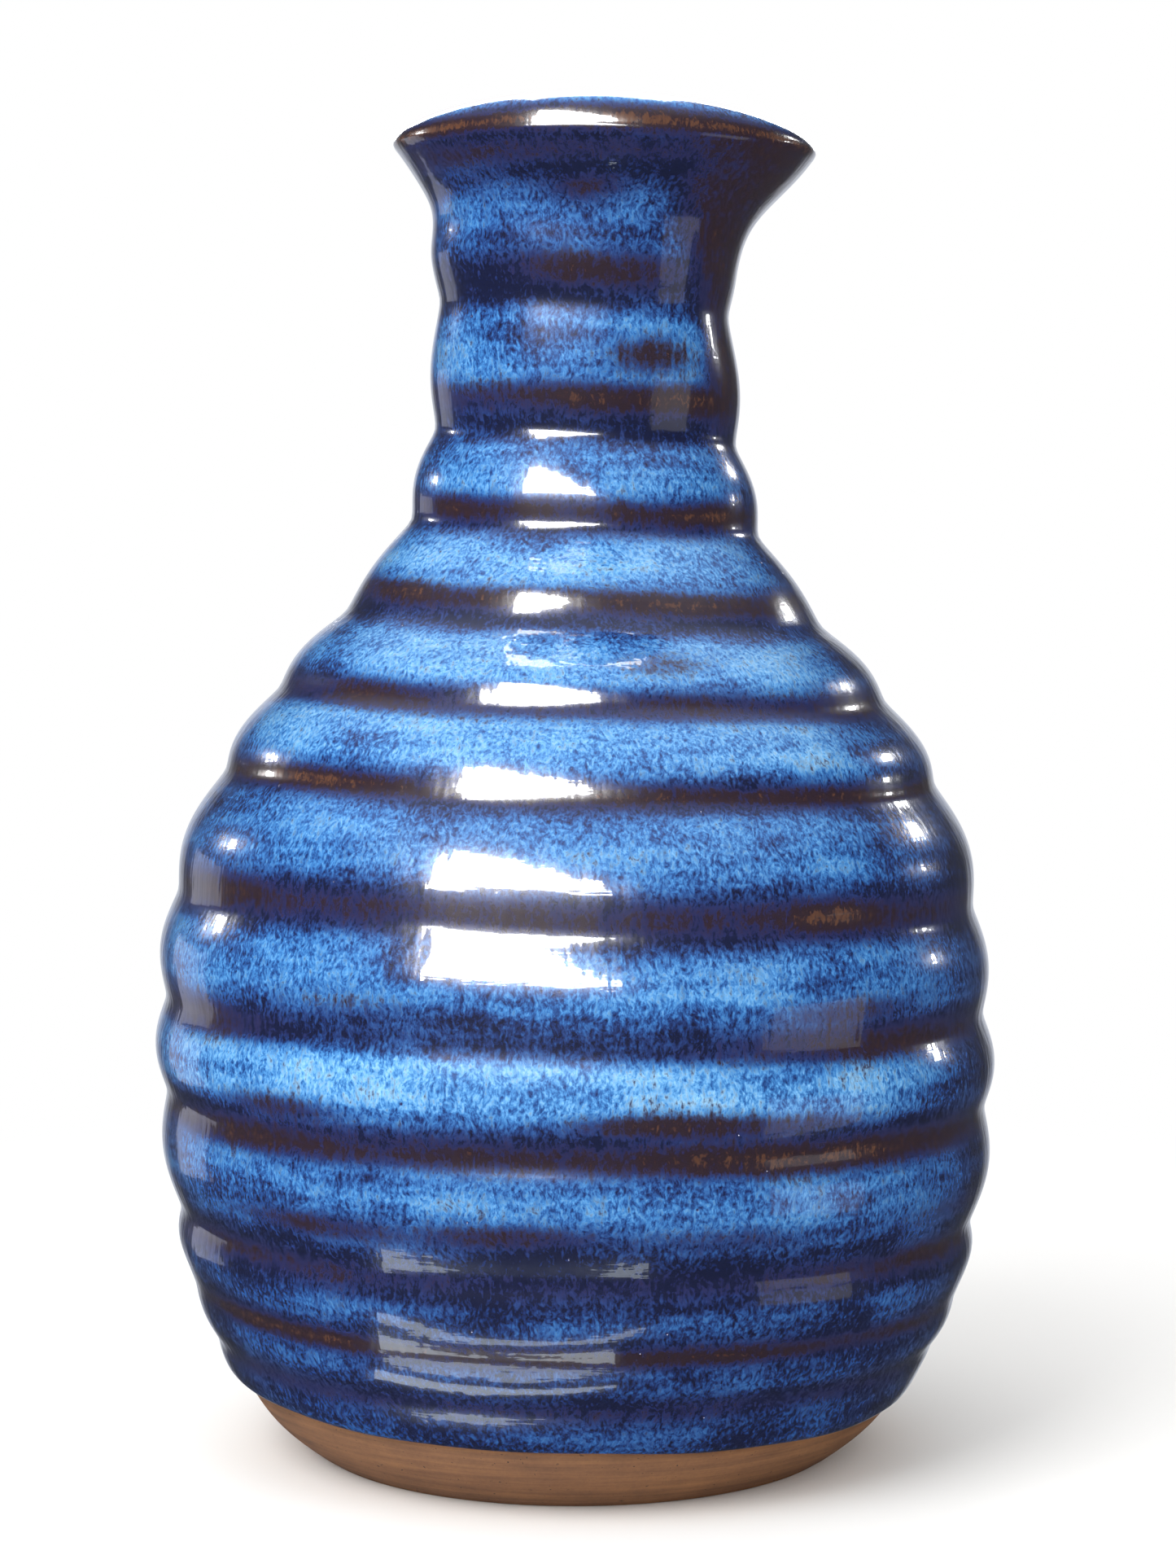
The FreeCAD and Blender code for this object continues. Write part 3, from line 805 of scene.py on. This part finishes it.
# Close ones: patches of the lit table as mm from the axis and degrees right, and two over the lip in metres
tableCards = [
    ("tableGlowCard", [(55, -42), (64, -42), (60, 8), (57, 8)], 1.0),
    ("tableStripCard", [(69, -42), (79, -42), (74, 14), (71, 14)], 0.9),
]
tableHeight = 0.4 * mm
overLip = [
    ("lipCardTop", (0.06, 0.262), (-0.012, 0.262)),
    ("lipCardBack", (0.07, 0.185), (0.06, 0.262)),
]
overLipHalf = 0.045
# Small lamps as the glaze mirrors them: name, degrees right and up, degrees in size
spotLamps = [("lampLeft", -122, 14, 2.2), ("lampRight", 131, 21, 2.2), ("lampFar", 118, 9, 1.4)]
# Soft lights: name, degrees right and up, share of the fill, metres across
softLights = [("softLeft", -42, 38, 1.0, 0.7), ("softRight", 48, 30, 0.35, 0.8)]


def towards(right, up, reach):
    a, e = math.radians(right), math.radians(up)
    way = Vector((math.sin(a) * math.cos(e), -math.cos(a) * math.cos(e), math.sin(e)))
    return Vector(studio["aim"]) + way * reach


def glowCard(name, corners, colour, strength):
    mesh = bpy.data.meshes.new(name)
    mesh.from_pydata([tuple(c) for c in corners], [], [tuple(range(len(corners)))])
    card = bpy.data.objects.new(name, mesh)
    bpy.context.scene.collection.objects.link(card)
    material, tree = newMaterial(name)
    glow = addNode(tree, "ShaderNodeEmission", None, {"Color": linear(colour), "Strength": strength})
    addNode(tree, "ShaderNodeOutputMaterial", None, {"Surface": glow.outputs[0]})
    mesh.materials.append(material)
    card.visible_camera = False              # only the glaze sees the cards
    card.visible_diffuse = False
    card.visible_shadow = False


reach = studio["reach"]
for name, corners, colour, strength in farCards:
    glowCard(name, [towards(right, up, reach) for right, up in corners], colour, strength)
for name, corners, share in tableCards:
    glowCard(name, [
        (r * mm * math.sin(math.radians(a)), -r * mm * math.cos(math.radians(a)), tableHeight)
        for r, a in corners
    ], "#DDE8F2", studio["table"] * share)
for name, (farY, farZ), (nearY, nearZ) in overLip:
    glowCard(name, [
        (-overLipHalf, farY, farZ), (overLipHalf, farY, farZ),
        (overLipHalf, nearY, nearZ), (-overLipHalf, nearY, nearZ),
    ], "#FFFFFF", studio["lipCard"])
for name, right, up, width in spotLamps:
    turns = np.linspace(0.0, 2.0 * math.pi, 12)[:-1]
    ring = [(right + width * 1.2 * math.cos(k), up + width * math.sin(k)) for k in turns]
    glowCard(name, [towards(r, u, reach) for r, u in ring], "#FFFFFF", studio["lamp"])

for name, right, up, share, width in softLights:
    lamp = bpy.data.lights.new(name, "AREA")
    lamp.energy = studio["fill"] * share
    lamp.size = width
    lampObject = bpy.data.objects.new(name, lamp)
    lampObject.location = towards(right, up, studio["lampReach"])
    lampObject.rotation_mode = "QUATERNION"
    lampObject.rotation_quaternion = (lampObject.location - Vector(studio["aim"])).to_track_quat("Z", "Y")
    lampObject.visible_glossy = False        # their shapes stay out of the glaze
    bpy.context.scene.collection.objects.link(lampObject)

size = studio["floorSize"]
floorMesh = bpy.data.meshes.new("studioFloor")
floorCorners = [(-size, -size, 0), (size, -size, 0), (size, size, 0), (-size, size, 0)]
floorMesh.from_pydata(floorCorners, [], [(0, 1, 2, 3)])
floor = bpy.data.objects.new("studioFloor", floorMesh)
bpy.context.scene.collection.objects.link(floor)
floorMaterial, floorTree = newMaterial("palePaper")
paper = addNode(floorTree, "ShaderNodeBsdfPrincipled", None, {
    "Base Color": linear(studio["floor"]), "Roughness": 0.9,
})
spot = addNode(floorTree, "ShaderNodeTexCoord").outputs["Object"]
far = addNode(floorTree, "ShaderNodeVectorMath", {"operation": "LENGTH"}, {0: spot})
fade = addNode(floorTree, "ShaderNodeMapRange", {"interpolation_type": "SMOOTHSTEP"}, {
    "Value": far.outputs["Value"], "From Min": studio["floorFade"][0], "From Max": studio["floorFade"][1],
})
seen = addNode(floorTree, "ShaderNodeLightPath")
bright = addNode(floorTree, "ShaderNodeMath", {"operation": "MULTIPLY"}, {
    0: fade.outputs[0], 1: seen.outputs["Is Camera Ray"],
})
lit = addNode(floorTree, "ShaderNodeEmission", None, {"Color": (1, 1, 1, 1), "Strength": 1.0})
sheet = addNode(floorTree, "ShaderNodeMixShader", None, {
    0: bright.outputs[0], 1: paper.outputs[0], 2: lit.outputs[0],
})
addNode(floorTree, "ShaderNodeOutputMaterial", None, {"Surface": sheet.outputs[0]})
floorMesh.materials.append(floorMaterial)
floor.visible_glossy = False                 # the dark room under the belly is what the glaze shows

world = bpy.data.worlds.new("studioWorld")
bpy.context.scene.world = world
world.use_nodes = True
sky = world.node_tree
sky.nodes.clear()
way = addNode(sky, "ShaderNodeTexCoord").outputs["Generated"]
parts = addNode(sky, "ShaderNodeSeparateXYZ", None, {0: way})
# Mirrored by the glaze: an even dark room, brighter overhead and straight behind
mirrorLevel = studio["room"]
for axis, (start, full, most) in ((2, studio["ceiling"]), (1, studio["backdrop"])):
    part = addNode(sky, "ShaderNodeMapRange", {"interpolation_type": "SMOOTHSTEP"}, {
        "Value": parts.outputs[axis], "From Min": start, "From Max": full, "To Max": most,
    })
    mirrorLevel = addNode(sky, "ShaderNodeMath", {"operation": "ADD"}, {
        0: part.outputs[0], 1: mirrorLevel,
    }).outputs[0]
# Falling on everything: shade, more from the left and from above
softLevel = studio["shade"]
for axis, start, full in ((0, 0.6, -0.7), (2, -0.1, 0.9)):
    part = addNode(sky, "ShaderNodeMapRange", {"interpolation_type": "SMOOTHSTEP"}, {
        "Value": parts.outputs[axis], "From Min": start, "From Max": full, "To Max": studio["open"],
    })
    softLevel = addNode(sky, "ShaderNodeMath", {"operation": "ADD"}, {
        0: part.outputs[0], 1: softLevel,
    }).outputs[0]
rays = addNode(sky, "ShaderNodeLightPath")
shown = addNode(sky, "ShaderNodeBackground", None, {"Color": (1, 1, 1, 1), "Strength": 1.0})
mirrored = addNode(sky, "ShaderNodeBackground", None, {"Color": linear("#EEF3FF"), "Strength": mirrorLevel})
lighting = addNode(sky, "ShaderNodeBackground", None, {"Color": (1, 1, 1, 1), "Strength": softLevel})
unseen = addNode(sky, "ShaderNodeMixShader", None, {
    0: rays.outputs["Is Glossy Ray"], 1: lighting.outputs[0], 2: mirrored.outputs[0],
})
every = addNode(sky, "ShaderNodeMixShader", None, {
    0: rays.outputs["Is Camera Ray"], 1: unseen.outputs[0], 2: shown.outputs[0],
})
addNode(sky, "ShaderNodeOutputWorld", None, {"Surface": every.outputs[0]})
print("studio lit")

# Camera: mm from the axis, mm up, mm to the right, degrees down, then the lens and its sensor in mm
view = {"distance": 402.9, "height": 106.35, "aside": 1.5, "pitch": 3.9, "lens": 77.57, "sensor": 36.0}
cameraData = bpy.data.cameras.new("portraitCamera")
cameraData.lens = view["lens"]
cameraData.sensor_width = view["sensor"]
cameraData.clip_start = 0.01
camera = bpy.data.objects.new("portraitCamera", cameraData)
camera.location = (view["aside"] * mm, -view["distance"] * mm, view["height"] * mm)
camera.rotation_euler = (math.radians(90.0 - view["pitch"]), 0.0, 0.0)
bpy.context.scene.collection.objects.link(camera)
bpy.context.scene.camera = camera
bpy.context.scene.view_settings.view_transform = "Standard"
print("camera set")
